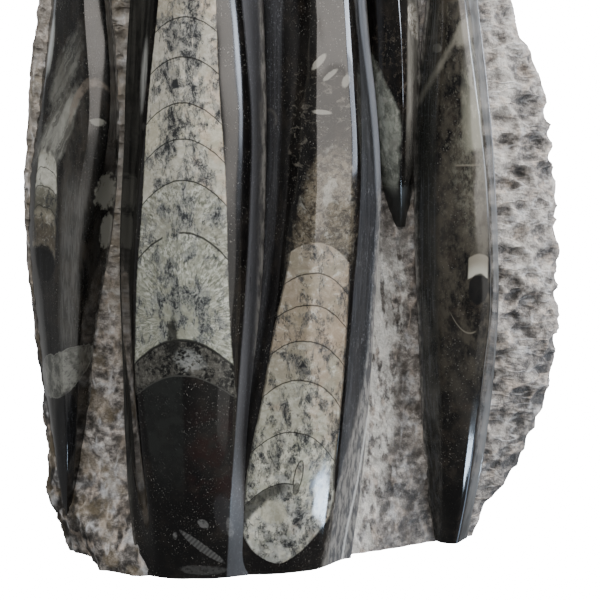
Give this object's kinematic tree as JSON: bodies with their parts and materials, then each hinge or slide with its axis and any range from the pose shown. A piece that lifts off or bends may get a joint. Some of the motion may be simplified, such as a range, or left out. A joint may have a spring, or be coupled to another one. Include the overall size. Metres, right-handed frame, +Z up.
{
  "type": "orthoceras fossil sculpture",
  "caption": "Upright block of fossil limestone with polished pointed ridges showing orthocone shells in section, pecked matrix and a flat sawn base.",
  "frame": {"origin": "centre of the sawn base, under the middle of the block", "axes": "+Z up towards the tips of the ridges, +X to the right as seen from the polished front, +Y towards the rough back; the polished ridges face -Y"},
  "size_m": [0.2105, 0.0872, 0.4],
  "materials": {
    "fossil_limestone": "polished black limestone ridges, rough pecked matrix"
  },
  "bodies": {
    "root": {"orthoceras_stone": "fossil_limestone"}
  },
  "joints": []
}
